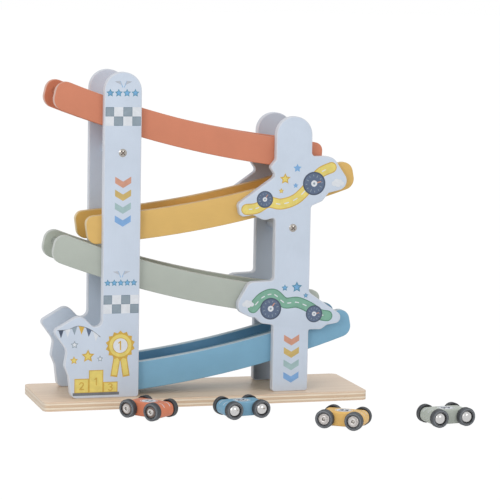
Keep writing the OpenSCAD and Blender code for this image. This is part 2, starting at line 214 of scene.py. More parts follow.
def print_ink(name, colour, dark):
    """Water-colour print: pools of tone with darker rims of pigment and the paper's tooth."""
    g = Graph(name)
    pool = g.noise(120.0, 4.0, 0.55, 0.8)
    tooth = g.noise(1300.0, 2.0)
    tone = g.ramp(pool, (0.25, shade(colour, dark)), (0.5, colour), (0.75, shade(colour, 1.1)))
    tone = g.blend(tone, shade(colour, 0.75), 0.12, tooth, 0.4, 0.7)
    g.bump(tooth, 0.1, 0.0002)
    return g.done(tone, 0.5, Specular_IOR_Level=0.35)


def plywood_face(name):
    """Lacquered birch veneer, its grain along X."""
    g = Graph(name)
    wide = g.noise(3.2, 4.0, 0.55, 0.7, stretch=(2.2, 26, 26))
    fine = g.noise(3.0, 4.0, 0.6, stretch=(14, 420, 420))
    pore = g.noise(1.4, 2.0, 0.6, stretch=(60, 1400, 1400))
    light, middle, dark = lin(234, 208, 181), lin(227, 200, 171), lin(219, 189, 159)
    tone = g.ramp(wide, (0.3, dark), (0.52, middle), (0.72, light))
    tone = g.blend(tone, lin(212, 184, 154), 0.22, fine, 0.4, 0.75)
    tone = g.blend(tone, lin(186, 153, 120), 0.3, pore, 0.62, 0.75)
    g.bump(fine, 0.15, 0.0004)
    return g.done(tone, g.span(wide, 0.38, 0.5), Coat_Weight=0.15, Coat_Roughness=0.3)


def plywood_edge(name, thick):
    """The cut edge of five-ply board: plies across z, alternately long grain and end grain.

    At the short ends the plies differ less and the tone is greyer."""
    g = Graph(name)
    wave = g.noise(5.0, 3.0, stretch=(9, 9, 40))
    sway = 0.8 * MM
    bent = g.compute("MULTIPLY_ADD", wave, sway, g.component(g.coord, "Z"))
    height = g.span(bent, 0.0, 1.0, sway / 2, thick * MM + sway / 2)
    veneer, glue = lin(226, 200, 174), lin(192, 158, 126)
    pale, brown = lin(240, 225, 202), lin(216, 189, 160)
    tone = g.ramp(height, (0.0, veneer), (0.13, veneer), (0.16, glue), (0.2, pale), (0.38, pale),
                  (0.42, glue), (0.46, brown), (0.6, brown), (0.63, glue), (0.67, pale),
                  (0.83, pale), (0.86, glue), (0.89, veneer))
    streak = g.noise(1.5, 4.0, 0.65, stretch=(30, 30, 1500))
    tone = g.blend(tone, lin(204, 170, 134), 0.5, streak, 0.4, 0.8)
    sideways = g.compute("ABSOLUTE", g.component(g.normal, "X"))
    tone = g.blend(tone, lin(210, 198, 182), 0.55, sideways, 0.5, 0.9)
    g.bump(streak, 0.25, 0.0004)
    return g.done(tone, 0.62, Specular_IOR_Level=0.3)


def metal(name, colour, rough):
    """Nickel-plated steel with faint polishing marks."""
    g = Graph(name)
    mark = g.noise(700.0, 3.0, 0.6)
    g.bump(mark, 0.04, 0.0002)
    tone = g.tint(mark, (*colour, 1.0), 0.9, 1.0)
    return g.done(tone, g.span(mark, rough * 0.8, rough * 1.3, 0.3, 0.7), Metallic=1.0)


def rubber(name, colour):
    """Dark grey rubbery plastic, slightly dusty."""
    g = Graph(name)
    grain = g.noise(1500.0, 3.0, 0.6)
    dust = g.noise(160.0, 3.0, 0.6)
    tone = g.tint(dust, colour, 0.88, 1.2, end=0.75)
    g.bump(grain, 0.15, 0.0003)
    return g.done(tone, g.span(dust, 0.45, 0.62), Specular_IOR_Level=0.4)


# For each ramp: its face, its rim, the inner face of its rear rail in painted shade, its car,
# and how much of the rim's tone the upper edges have
RAMPS = {
    "terracotta": ((207, 129, 98), (216, 176, 160), (192, 112, 80), (218, 130, 95), 0.3),
    "mustard": ((218, 177, 102), (224, 202, 162), (222, 175, 92), (233, 187, 107), 0.5),
    "sage": ((177, 182, 171), (199, 201, 194), (174, 179, 166), (179, 184, 173), 0.75),
    "blue": ((124, 170, 195), (194, 203, 206), (95, 140, 170), (125, 171, 196), 0.85),
}
ALONG_X, ALONG_Z = (0.12, 1, 1), (1, 1, 0.12)
PAINT, INNER_SHADE, CAR, DECK = {}, {}, {}, {}
for key, (face, rim, inner, car, upper) in RAMPS.items():
    face = lin(*face)
    PAINT[key] = (paint(key + "_paint", face, ALONG_X),
                  edge_paint(key + "_edge", lin(*rim), ALONG_X, face, upper))
    # Painted shade: the rear rail's inner face takes its own darker inner colour
    INNER_SHADE[key] = paint(key + "_inner", lin(*inner), ALONG_X)
    CAR[key] = paint(key + "_car_paint", lin(*car), ALONG_X)
    # Painted shade: the deck is darker than the face, and its ends darker still
    DECK[key] = edge_paint(key + "_deck", shade(face, 0.7), ALONG_X, shade(face, 0.92), 0.0)
pale = lin(200, 209, 221)
PALE = (paint("pale_paint", pale, ALONG_Z), edge_paint("pale_edge", lin(211, 214, 220), ALONG_Z))
# Painted shade for the right rear post's front face: darker overall, and darker still low down and
# towards its left edge, where the ramps shade it
PALE_SHADE = paint("pale_painted_shade", shade(pale, 0.84), ALONG_Z, (0.45, 0.076, 0.090))
CHROME = metal("bright_nickel", (0.61, 0.605, 0.60), 0.22)
CAP = metal("cap_nickel", (0.63, 0.60, 0.58), 0.3)
STEEL = metal("screw_nickel", (0.42, 0.395, 0.365), 0.28)
# Darker nickel of painted shade in screw recesses and cap grooves, and a painted darker reflection
# on the terracotta car's cap rims
NICKEL_SHADE = metal("nickel_painted_shade", (0.24, 0.19, 0.17), 0.4)
TYRE = rubber("grey_rubber", lin(84, 88, 92))
TREAD = rubber("tread_rubber", lin(66, 68, 71))
# Painted highlight: paler rubber for the ridges on the tyres' sides
RIDGE_HIGHLIGHT = rubber("ridge_painted_highlight", lin(128, 130, 133))
# Painted shade: darker rubber for the wheels' hollow inner side and their recesses
HUB = rubber("recess_painted_shade", lin(44, 44, 47))
INK = {key: print_ink("print_" + key, lin(*tone), dark) for key, tone, dark in (
    ("white", (218, 220, 223), 0.95), ("ash", (180, 184, 192), 0.9),
    ("slate", (142, 155, 164), 0.9), ("steel", (124, 140, 152), 0.9),
    ("ink", (72, 82, 100), 0.82), ("navy", (92, 106, 130), 0.84),
    ("terracotta", (203, 148, 124), 0.93), ("mustard", (201, 173, 106), 0.93),
    ("sage", (160, 185, 184), 0.94), ("blue", (126, 166, 210), 0.92),
    ("sky", (118, 168, 208), 0.86), ("teal", (88, 142, 166), 0.85),
    ("yellow", (226, 205, 112), 0.88), ("gold", (205, 166, 72), 0.85),
    ("green", (124, 170, 148), 0.86), ("leaf", (90, 138, 116), 0.85),
    ("grey", (116, 120, 124), 0.85))}


# ---------------------------------------------------------------- meshes

def build(name, verts, faces, mats, slots=None, flat=(), sharp=35.0):
    """A mesh object at the origin from points in millimetres; faces in flat stay unsmoothed."""
    me = bpy.data.meshes.new(name)
    me.from_pydata((np.asarray(verts, float) * MM).tolist(), [], faces)
    for m in mats:
        me.materials.append(m)
    if slots is not None:
        me.polygons.foreach_set("material_index", np.asarray(slots, np.int32))
    smooth = np.ones(len(me.polygons), bool)
    smooth[list(flat)] = False
    me.polygons.foreach_set("use_smooth", smooth)
    me.update()
    me.set_sharp_from_angle(angle=math.radians(sharp))
    ob = bpy.data.objects.new(name, me)
    bpy.context.scene.collection.objects.link(ob)
    return ob


def box_mm(node):
    """The two far corners of a solid, in millimetres."""
    return (np.array(corner) * 1000 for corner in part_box(node))


def moved(points, place):
    """The points turned and shifted by the matrix place."""
    return points @ np.array(place.to_3x3()).T + np.array(place.translation)


def signed_area(p):
    """Half the sum of x z' - x' z over a loop's sides: over 0 where it runs anticlockwise."""
    q = np.roll(p, -1, 0)
    return 0.5 * np.sum(p[:, 0] * q[:, 1] - q[:, 0] * p[:, 1])


def outline(node, axes=(0, 2)):
    """The outer edge of a board's front face in millimetres, anticlockwise, from its solid.

    The axes are those of the face; a base's face lies in x and y. Edges that only one triangle of
    the face has are chained into loops; the one of largest area counts."""
    me = NODES[node].data
    me.calc_loop_triangles()
    co = np.empty(len(me.vertices) * 3)
    me.vertices.foreach_get("co", co)
    co = co.reshape(-1, 3) * 1000
    depth = co[:, 3 - sum(axes)]
    tri = np.empty(len(me.loop_triangles) * 3, np.int32)
    me.loop_triangles.foreach_get("vertices", tri)
    tri = tri.reshape(-1, 3)
    tri = tri[(depth[tri] < depth.min() + 0.02).all(1)]
    keys, ids = np.unique(np.round(co[:, list(axes)], 3), axis=0, return_inverse=True)
    tri = ids.reshape(-1)[tri]
    edges = np.stack([tri, np.roll(tri, -1, 1)], 2).reshape(-1, 2)
    code = (len(keys), 1)
    alone = ~np.isin(edges @ code, edges[:, ::-1] @ code) & (edges[:, 0] != edges[:, 1])
    after = dict(edges[alone].tolist())
    loops = []
    while after:
        start, p = next(iter(after.items()))
        loop = [start]
        del after[start]
        while p != start and p in after:
            loop.append(p)
            p = after.pop(p)
        loops.append(keys[loop])
    best = max(loops, key=lambda p: abs(signed_area(p)))
    return best if signed_area(best) > 0 else best[::-1]


def inward(p):
    """At each point of an anticlockwise loop, the way to move so that both sides shift by 1.

    With m and n the inward normals of the two sides, that is (m + n) / (1 + m.n)."""
    d = np.roll(p, -1, 0) - p
    d /= np.linalg.norm(d, axis=1)[:, None]
    n = np.stack([-d[:, 1], d[:, 0]], 1)
    m = np.roll(n, 1, 0)
    return (m + n) / (1 + np.sum(m * n, 1))[:, None]


def bend(a, b, c, r, n=12):
    """Points of the arc of radius r that rounds the corner b between a and c.

    With u and v from its centre to where it touches the sides to a and c, and w its sweep, the
    point at the angle t is centre + (sin(w - t) u + sin(t) v) / sin(w)."""
    to_a, to_c = (a - b) / np.linalg.norm(a - b), (c - b) / np.linalg.norm(c - b)
    half = math.acos(to_a @ to_c) / 2
    centre = b + (to_a + to_c) / np.linalg.norm(to_a + to_c) * r / math.sin(half)
    touch = r / math.tan(half)
    u, v = b + to_a * touch - centre, b + to_c * touch - centre
    sweep = math.pi - 2 * half
    t = np.linspace(0, sweep, n)[:, None]
    return centre + (np.sin(sweep - t) * u + np.sin(t) * v) / math.sin(sweep)


def lean_low_end(loop, way, out, back):
    """A rail's outline with its low end, on the side way, sawn at a slant.

    The last stretch is drawn anew: both edges run on straight to two corners, the upper one out
    beyond the solid's end and the lower one back from it, and each is rounded."""
    stretch, upper_r, lower_r, near_by = 22.0, 8.5, 10.0, 4.0
    reach = (loop[:, 0] * way).max()
    keep = loop[:, 0] * way < reach - stretch
    gap = np.flatnonzero(keep & ~np.roll(keep, -1))[0]
    chain = np.roll(loop, -gap - 1, 0)[~np.roll(~keep, -gap - 1)]
    ends = []
    for near, far in ((chain[-1], chain[-4]), (chain[0], chain[3])):
        slope = (near - far)[1] / (near - far)[0]
        upper = near[1] > loop[np.abs(loop[:, 0] - near[0]) < near_by, 1].mean()
        x = way * (reach + (out if upper else -back))
        corner = np.array([x, near[1] + slope * (x - near[0])])
        ends.append((near, corner, upper_r if upper else lower_r))
    (a, p, p_r), (b, q, q_r) = ends
    return np.concatenate([chain, bend(a, p, q, p_r), bend(p, q, b, q_r)])


def slab(name, loop, y0, y1, r, mats, place=Matrix.Identity(4), steps=4):
    """A board between y0 and y1 with edges rounded by r.

    Ring k of a rounding lies r(1 - sin a) inside the outline and r(1 - cos a) from the face,
    a = 90 k / steps degrees; the two flat faces are single polygons. Materials: face, edge and, if
    it differs, front face."""
    a = np.linspace(0, math.pi / 2, steps + 1)
    inset, depth = r * (1 - np.sin(a)), r * (1 - np.cos(a))
    inset = np.append(inset, inset[::-1])
    y = np.append(y0 + depth, (y1 - depth)[::-1])
    plan = loop + inward(loop) * inset[:, None, None]
    height = np.broadcast_to(y[:, None], plan.shape[:2])
    verts = np.stack([plan[..., 0], height, plan[..., 1]], 2).reshape(-1, 3)
    m = len(loop)
    last = (len(y) - 1) * m
    i = np.arange(m)
    j = (i + 1) % m
    strip = np.stack([i, m + i, m + j, j], 1)
    quads = (strip + np.arange(0, last, m)[:, None, None]).reshape(-1, 4)
    faces = [i.tolist(), (last + i)[::-1].tolist(), *quads.tolist()]
    slots = [2 if len(mats) > 2 else 0, 0] + [1 if len(mats) > 1 else 0] * last
    return build(name, moved(verts, place), faces, mats, slots, flat=(0, 1))


def revolve(name, profile, place, mats, slots=None, turns=96, sharp=40.0):
    """A turned piece: the profile's point (r, h) goes to (r cos t, r sin t, h) for t all round.

    A point with r = 0 is one shared pole, so the piece is closed on its axis."""
    prof = np.array(profile, float)
    t = np.arange(turns) * 2 * math.pi / turns
    grid = np.stack([np.outer(prof[:, 0], np.cos(t)), np.outer(prof[:, 0], np.sin(t)),
                     np.repeat(prof[:, 1:], turns, 1)], 2)
    count = np.where(prof[:, 0] > 1e-6, turns, 1)
    start = np.cumsum(count) - count
    verts = np.concatenate([row[:n] for row, n in zip(grid, count)])
    i = np.arange(turns)
    j = (i + 1) % turns
    faces = []
    for k, (a, b) in enumerate(zip(start, start[1:])):
        corners = [a + i, a + j, b + j, b + i]
        if count[k] == 1:
            corners = [a + 0 * i, b + j, b + i]
        elif count[k + 1] == 1:
            corners = [a + i, a + j, b + 0 * i]
        faces += np.stack(corners, 1).tolist()
    marks = np.repeat(slots if slots else [0] * (len(prof) - 1), turns)
    return build(name, moved(verts, place), faces, mats, marks, sharp=sharp)


def stands_for(ob, node, body):
    """The object is shown in the place of that solid."""
    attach(ob, body)
    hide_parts(node)


# ---------------------------------------------------------------- boards

EDGE_R, DECK_EDGE_R, BASE_EDGE_R, CAR_EDGE_R = 0.9, 0.25, 0.35, 1.5
# How far the look stops short of its solid: at both ends of a deck, and left and right of the base
DECK_TRIM, BASE_TRIM = 2.0, (1.4, 0.6)
# Each ramp's low side, how far the upper corner of its low end lies out and the lower one back
LOW_ENDS = {"terracotta": (1, -0.6, 2.2), "mustard": (-1, 2.2, 1.8),
            "sage": (1, 0.0, 2.2), "blue": (-1, 2.2, 1.8)}


def shortened(loop, left, right):
    """The outline with its x mapped onto a span that is shorter at either end."""
    x = loop[:, 0]
    ends = x.min(), x.max()
    return np.column_stack([np.interp(x, ends, (ends[0] + left, ends[1] - right)), loop[:, 1]])


for node in ("left_front_post", "left_rear_post", "right_front_post", "right_rear_post"):
    lo, hi = box_mm(node)
    mats = PALE if node != "right_rear_post" else (*PALE, PALE_SHADE)
    ob = slab(node + "_board", outline(node), lo[1], hi[1], EDGE_R, mats)
    stands_for(ob, node, "track")
for key, low_end in LOW_ENDS.items():
    for part, r, mats in (("front_rail", EDGE_R, PAINT[key]),
                          ("rear_rail", EDGE_R, (*PAINT[key], INNER_SHADE[key])),
                          ("deck", DECK_EDGE_R, (DECK[key],))):
        node = key + "_" + part
        lo, hi = box_mm(node)
        loop = outline(node)
        if part == "deck":
            loop = shortened(loop, DECK_TRIM, DECK_TRIM)
        else:
            loop = lean_low_end(loop, *low_end)
        ob = slab(node + "_board", loop, lo[1], hi[1], r, mats)
        stands_for(ob, node, "track")

lo, hi = box_mm("base_board")
lying = Matrix(((1, 0, 0), (0, 0, 1), (0, 1, 0))).to_4x4()
ob = slab("base_board_plywood", shortened(outline("base_board", (0, 1)), *BASE_TRIM), lo[2], hi[2],
          BASE_EDGE_R, (plywood_face("birch_face"), plywood_edge("birch_edge", hi[2] - lo[2])),
          lying)
ob.data.flip_normals()
stands_for(ob, "base_board", "track")

for node in ("left_spacer", "right_spacer"):
    lo, hi = box_mm(node)
    r, half, e = (hi[0] - lo[0]) / 2, (hi[1] - lo[1]) / 2, 0.5
    place = Matrix.Translation(((lo + hi) / 2).tolist()) @ Matrix.Rotation(math.pi / 2, 4, "X")
    prof = [(0, half), (r - e, half), (r - e * 0.3, half - e * 0.3), (r, half - e),
            (r, e - half), (r - e * 0.3, e * 0.3 - half), (r - e, -half), (0, -half)]
    ob = revolve(node + "_dowel", prof, place, PALE[:1])
    stands_for(ob, node, "track")
NODES["base_screws"].data.materials.clear()
NODES["base_screws"].data.materials.append(STEEL)


def screw_heads(name, seats, radius=4.2, rise=1.3, shank=1.9):
    """Raised cross-recessed heads on shanks.

    The head's height at r is rise (1 - (r / radius)^2) from the edge of the recess to the rim. The
    recess is a plus sign with arms of half width w and half length a, which at the angle t reaches
    max(min(a / cos t, w / sin t), min(w / cos t, a / sin t)); its floor lies just over the seat."""
    w, a, per_quarter, floor, below = 0.5, 2.7, 11, 0.06, (-0.3, -2.4, -24.0)
    corner = math.atan2(w, a)
    steps = np.arange(1, per_quarter + 1) * math.pi / 2 / (per_quarter + 1)
    angles = np.append([-corner, corner], steps)
    t = np.sort((np.arange(4)[:, None] * math.pi / 2 + angles).ravel())
    c, s = np.abs(np.cos(t)) + 1e-9, np.abs(np.sin(t)) + 1e-9
    reach = np.maximum(np.minimum(a / c, w / s), np.minimum(w / c, a / s))
    span = radius - reach
    rim, foot = radius + 0 * t, shank + 0 * t
    radii = np.stack([reach * 0.85, reach, reach + span * 0.35, reach + span * 0.7, rim, rim,
                      foot, foot])
    heights = rise * (1 - (radii / radius) ** 2)
    heights[0] = floor
    heights[5:] = np.array(below)[:, None]
    aside = t + math.pi / 4
    local = np.stack([radii * np.cos(aside), radii * np.sin(aside), heights], 2).reshape(-1, 3)
    n, last = len(t), len(local) - len(t)
    i = np.arange(n)
    j = (i + 1) % n
    strip = np.stack([i, n + i, n + j, j], 1)
    quads = (strip + np.arange(0, last, n)[:, None, None]).reshape(-1, 4)
    faces = []
    for base in range(0, len(seats) * len(local), len(local)):
        faces += [(base + i).tolist(), (base + last + i)[::-1].tolist(), *(base + quads).tolist()]
    # Painted shade: the recess's floor and first walls take the darker nickel
    slots = [1, 0] + [1] * n + [0] * (len(quads) - n)
    verts = np.concatenate([moved(local, seat) for seat in seats])
    return build(name, verts, faces, (STEEL, NICKEL_SHADE), slots * len(seats), sharp=30.0)


seats = []
for node in ("left_spacer", "right_spacer"):
    lo, hi = box_mm(node)
    x, _, z = (lo + hi) / 2
    for post, to, side in (("front", 1, 0), ("rear", -1, 1)):
        face = list(box_mm(node.replace("spacer", post + "_post")))[side][1]
        seats.append(Matrix.Translation((x, face, z)) @ Matrix.Rotation(to * math.pi / 2, 4, "X"))
stands_for(screw_heads("post_screw_heads", seats), "post_screws", "track")


# ---------------------------------------------------------------- prints on the front posts

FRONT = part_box("left_front_post")[0][1] * 1000
LIFT = 0.02
SHEETS = []


def sheet(ink, pts):
    """Adds a flat printed patch with the outline pts (x, z), in front of those it overlaps."""
    pts = np.array(pts, float)
    lo, hi = pts.min(0), pts.max(0)
    under = [level for _, _, level, low, high in SHEETS if (low < hi).all() and (high > lo).all()]
    SHEETS.append((ink, pts, max(under, default=0) + 1, lo, hi))


def block(ink, x0, x1, z0, z1):
    """A printed rectangle."""
    sheet(ink, [(x0, z0), (x1, z0), (x1, z1), (x0, z1)])


def circle(cx, cz, r, n=40):
    """The point at the angle t is (cx + r cos t, cz + r sin t)."""
    t = np.arange(n) * 2 * math.pi / n
    return np.column_stack([cx + r * np.cos(t), cz + r * np.sin(t)])


def star(cx, cz, r, inner=0.5, points=5):
    """Points at even angles from the top round, by turns r and inner r from the centre."""
    i = np.arange(2 * points)
    t, reach = math.pi / 2 + i * math.pi / points, np.where(i % 2 == 0, r, r * inner)
    return np.column_stack([cx + reach * np.cos(t), cz + reach * np.sin(t)])


def through(points, n=12):
    """A smooth curve through the given points (Catmull-Rom), n points between each two.

    From b to c, with a before and d after them, it is half of 2b + (c - a) t
    + (2a - 5b + 4c - d) t^2 + (3b - 3c + d - a) t^3."""
    p = np.array([points[0], *points, points[-1]], float)
    a, b, c, d = (p[k:len(p) - 3 + k, None] for k in range(4))
    t = (np.arange(n) / n)[None, :, None]
    curve = 0.5 * (2 * b + (c - a) * t + (2 * a - 5 * b + 4 * c - d) * t ** 2
                   + (3 * b - 3 * c + d - a) * t ** 3)
    return np.append(curve.reshape(-1, 2), p[-1:], 0)


def arc_end(c, v):
    """Points of the half circle round c that starts at c + v, anticlockwise."""
    a = np.linspace(0, math.pi, 9)[1:-1, None]
    return c + v * np.cos(a) + np.array((-v[1], v[0])) * np.sin(a)


def ribbon(ink, line, width, round_ends=True):
    """A band along a line: its sides lie half the width from it, along its normals."""
    line = np.array(line, float)
    d = np.gradient(line, axis=0)
    d /= np.linalg.norm(d, axis=1)[:, None]
    side = np.stack([-d[:, 1], d[:, 0]], 1) * width / 2
    right, left = line - side, (line + side)[::-1]
    if round_ends:
        right = np.append(right, arc_end(line[-1], -side[-1]), 0)
        left = np.append(left, arc_end(line[0], side[0]), 0)
    sheet(ink, np.append(right, left, 0))


DIGITS = {
    "1": [(-1.0, 1.9), (0.3, 3.0), (0.3, -3.0)],
    "2": [(-1.7, 1.6), (-1.1, 2.7), (0.1, 3.0), (1.4, 2.4), (1.6, 1.1), (0.7, -0.5),
          (-1.7, -3.0), (1.9, -3.0)],
    "3": [(-1.6, 2.4), (-0.4, 3.0), (1.1, 2.6), (1.5, 1.5), (0.8, 0.4), (-0.3, 0.15),
          (1.0, -0.2), (1.7, -1.4), (1.0, -2.7), (-0.4, -3.0), (-1.7, -2.3)],
    "4": [(0.8, -3.0), (0.8, 3.0), (-1.8, -1.0), (1.9, -1.0)],
}


def digit(ink, which, cx, cz, size):
    """A digit of that height, each of its strokes a round-ended ribbon."""
    pts = np.array(DIGITS[which]) * size / 6 + (cx, cz)
    for a, b in zip(pts, pts[1:]):
        ribbon(ink, [a, b], size * 0.16)


def gauge(cx, cz, r, turn):
    """A round dashboard gauge: dark rim and face, pale ticks, a needle and a pale hub."""
    def spoke(degrees, start, end):
        a = math.radians(degrees + turn)
        return np.array([(cx, cz)] * 2) + np.outer((start, end), (math.sin(a), math.cos(a))) * r

    sheet("ink", circle(cx, cz, r))
    sheet("navy", circle(cx, cz, r * 0.88))
    for k in range(12):
        ribbon("slate", spoke(30 * k, 0.62 if k % 3 else 0.54, 0.76), r * 0.06, False)
    ribbon("terracotta", spoke(50, 0, 0.6), r * 0.09)
    sheet("white", circle(cx, cz, r * 0.27))
    sheet("slate", circle(cx, cz, r * 0.1, 16))


def cloud(cx, cz, s):
    """Five white discs that overlap, their places and radii as shares of s."""
    for dx, dz, r in ((-0.9, -0.1, 0.55), (-0.3, 0.35, 0.62), (0.45, 0.25, 0.55),
                      (0.95, -0.15, 0.48), (0, -0.2, 0.7)):
        sheet("white", circle(cx + dx * s, cz + dz * s, r * s, 24))


def two_tone_star(outer, inner, x, z, r):
    """A star with a smaller one of another ink in its middle."""
    sheet(outer, star(x, z, r))
    sheet(inner, star(x, z, r * 0.62))


def road(edge, surface, points, width=11.6):
    """A winding road with a darker edge and pale dashes along its middle."""
    line = through(points)
    ribbon(edge, line, width)
    ribbon(surface, line, width - 2.0)
    for i in range(4, len(line) - 5, 7):
        ribbon("white", line[i:i + 4], 1.1)


POST_X, POST_HALF = -90.2, 18.3

# Checker bands, two squares high, their upper left square dark
SQUARE_W, SQUARE_H = 9.45, 9.4
for top in (305.7, 114.9):
    for row in range(2):
        for col in range(4):
            x0 = max(POST_X + SQUARE_W * (col - 2), POST_X - POST_HALF)
            x1 = min(POST_X + SQUARE_W * (col - 1), POST_X + POST_HALF)
            z = top - SQUARE_H * row
            dark = (row + col) % 2 == 0
            block("steel" if dark else "white", x0, x1, z - SQUARE_H, z)
            if dark:
                sheet("slate", [(x0 + 0.7, z - 8.6), (x1 - 0.7, z - 8.8), (x1 - 0.8, z - 0.7),
                                (x0 + 0.6, z - 0.8)])

# Chevrons that point down
PITCH, HALF_W, DIP, DEEP = 13.1, 8.325, 5.0, 6.6
for cx, top in ((-89.5, 235.6), (92.5, 69.3)):
    for k, ink in enumerate(RAMPS):
        z = top - PITCH * k
        sheet(ink, [(cx - HALF_W, z), (cx - HALF_W, z - DEEP), (cx, z - DIP - DEEP),
                    (cx + HALF_W, z - DEEP), (cx + HALF_W, z), (cx, z - DIP)])

# Rows of blue stars and a pair of grey pennants above each checker band
for cz, count, pitch, size in ((319.8, 4, 8.6, 4.3), (127.4, 5, 6.8, 3.8)):
    for i in range(count):
        two_tone_star("teal", "sky", POST_X - 0.6 + (i - (count - 1) / 2) * pitch, cz, size)
    for to in (-1, 1):
        foot = np.array([POST_X + to * 0.7, cz + 5.6])
        tip = foot + (to * 2.7, 6.6)
        ribbon("sky", [foot, tip], 0.6, False)
        sheet("ash", [tip, tip + (to * 5.6, -0.6), tip + (-to * 1.6, -4.2)])

# Upper panel: a winding yellow road, two gauges, a cloud and stars
road("gold", "yellow", [(41, 200.8), (52, 202), (64, 208), (78, 206), (94, 211), (108, 224),
                        (120, 238), (132, 243.5)])
gauge(60.5, 211.0, 8.8, -20)
gauge(113.5, 227.0, 12.2, 25)
cloud(139.5, 227.3, 4.7)
two_tone_star("gold", "yellow", 82, 232, 6.0)
two_tone_star("sky", "blue", 95, 243, 4.6)
two_tone_star("gold", "yellow", 78, 219.5, 3.0)
two_tone_star("sky", "blue", 93.5, 225, 3.0)

# Lower panel: a winding green road, two gauges, a cloud and stars
road("leaf", "green", [(50, 98.5), (60, 109), (72, 112), (84, 103), (98, 103), (112, 97),
                       (122, 90), (131, 88)])
gauge(69.0, 97.0, 11.4, -15)
gauge(116.5, 90.5, 9.0, 30)
cloud(44.5, 102.5, 4.4)
two_tone_star("teal", "sky", 97, 119, 6.0)
two_tone_star("teal", "sky", 84, 118.5, 3.8)
two_tone_star("teal", "sky", 107, 110, 3.0)

# Left panel: a podium with numbers
GROUND, STEP_HALF, RIM = 15.0, 7.5, 0.9
for x, h, which in ((-130.4, 15.0, "2"), (-115.4, 23.5, "1"), (-100.4, 11.0, "3")):
    block("gold", x - STEP_HALF, x + STEP_HALF, GROUND, GROUND + h)
    block("yellow", x - STEP_HALF + RIM, x + STEP_HALF - RIM, GROUND + RIM, GROUND + h - RIM)
    digit("gold", which, x, GROUND + h / 2, 7.0)
block("grey", -139.5, -91.3, 12.4, 15.4)

# A rosette with two ribbons
ROSE_X, ROSE_Z = -90.5, 63
for to in (-1, 1):
    ribbon("gold", [(ROSE_X + to * 2.5, 56), (ROSE_X + to * 6.5, 31)], 7.4, False)
    ribbon("yellow", [(ROSE_X + to * 2.5, 56), (ROSE_X + to * 6.2, 32.6)], 5.4, False)
sheet("gold", star(ROSE_X, ROSE_Z, 15.5, 0.84, 14))
for ink, r in (("yellow", 11.6), ("gold", 8.3), ("white", 7.5)):
    sheet(ink, circle(ROSE_X, ROSE_Z, r))
digit("gold", "1", ROSE_X - 0.3, ROSE_Z, 8.4)

# Bunting on a sagging string, and stars
string = through([(-155.5, 80.2), (-145, 80.8), (-134, 84.2), (-122, 80.4), (-111.5, 72.5)], 8)
ribbon("grey", string, 0.7)
tones = ("ink", "white", "slate", "gold", "navy", "white")
for k, i in enumerate(range(1, len(string) - 4, 5)):
    a, b = string[i], string[i + 4]
    sheet(tones[k % len(tones)], [a, b, (a + b) / 2 - (0, 8.2)])
two_tone_star("gold", "yellow", -124, 53, 7.0)
two_tone_star("gold", "yellow", -138.5, 49, 4.4)
two_tone_star("slate", "white", -138, 65, 4.2)
two_tone_star("slate", "white", -111.5, 50, 3.4)


def object_from_sheets(name):
    """One object of all printed patches, each a flat polygon that faces the front.

    A patch on level k lies k + 1 times LIFT in front of the posts' faces."""
    inks = sorted({ink for ink, *_ in SHEETS})
    verts, faces, slots, count = [], [], [], 0
    for ink, pts, level, *_ in SHEETS:
        if signed_area(pts) < 0:
            pts = pts[::-1]
        y = np.full(len(pts), FRONT - LIFT * (level + 1))
        verts.append(np.column_stack([pts[:, 0], y, pts[:, 1]]))
        faces.append(list(range(count, count + len(pts))))
        slots.append(inks.index(ink))
        count += len(pts)
    mats = [INK[ink] for ink in inks]
    return build(name, np.concatenate(verts), faces, mats, slots, flat=range(len(faces)))


prints = object_from_sheets("front_prints")
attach(prints, "track")


# ---------------------------------------------------------------- cars

JOINT = {j["name"]: j for j in frame["joints"]}
WHEEL_R, WHEEL_W, BODY_W, PLAY = 9.15, 6.4, 21.2, 0.4
NOSE, TAIL, WHEELBASE, BODY_H, END_R = 8.5, 7.5, 30.0, 14.5, 6.525
DOME_D, DOME_H, DOME_SEAT = 11.3, 2.4, 0.3
RECESS, PRINT_LIFT = 1.2, 0.05
# From a car's middle plane to a wheel's inner side, and to the floor of its outer recess
WHEEL_IN = BODY_W / 2 + PLAY
HUB_FLOOR = WHEEL_IN + WHEEL_W - RECESS


def cap_marks(key, end):
    """Which stretches of a cap's section take the darker nickel of painted shade, from its seat
    over the rim to the hole.

    The thin grooves always do, as shade in them; on the terracotta car also the rim, at the front
    up to the boss, as a painted darker reflection."""
    if key != "terracotta":
        return [0] * 5 + [1, 0, 1] + [0] * 7
    if end == "rear":
        return [0] * 3 + [1, 1, 1, 0, 1] + [0] * 7
    return [0] * 2 + [1] * 7 + [0] * 6


def arc(cx, cz, r, start, end, n):
    """Points on an arc round (cx, cz) from one angle to another, in degrees, in n steps."""
    t = np.radians(np.linspace(start, end, n + 1))
    return np.column_stack([cx + r * np.cos(t), cz + r * np.sin(t)])


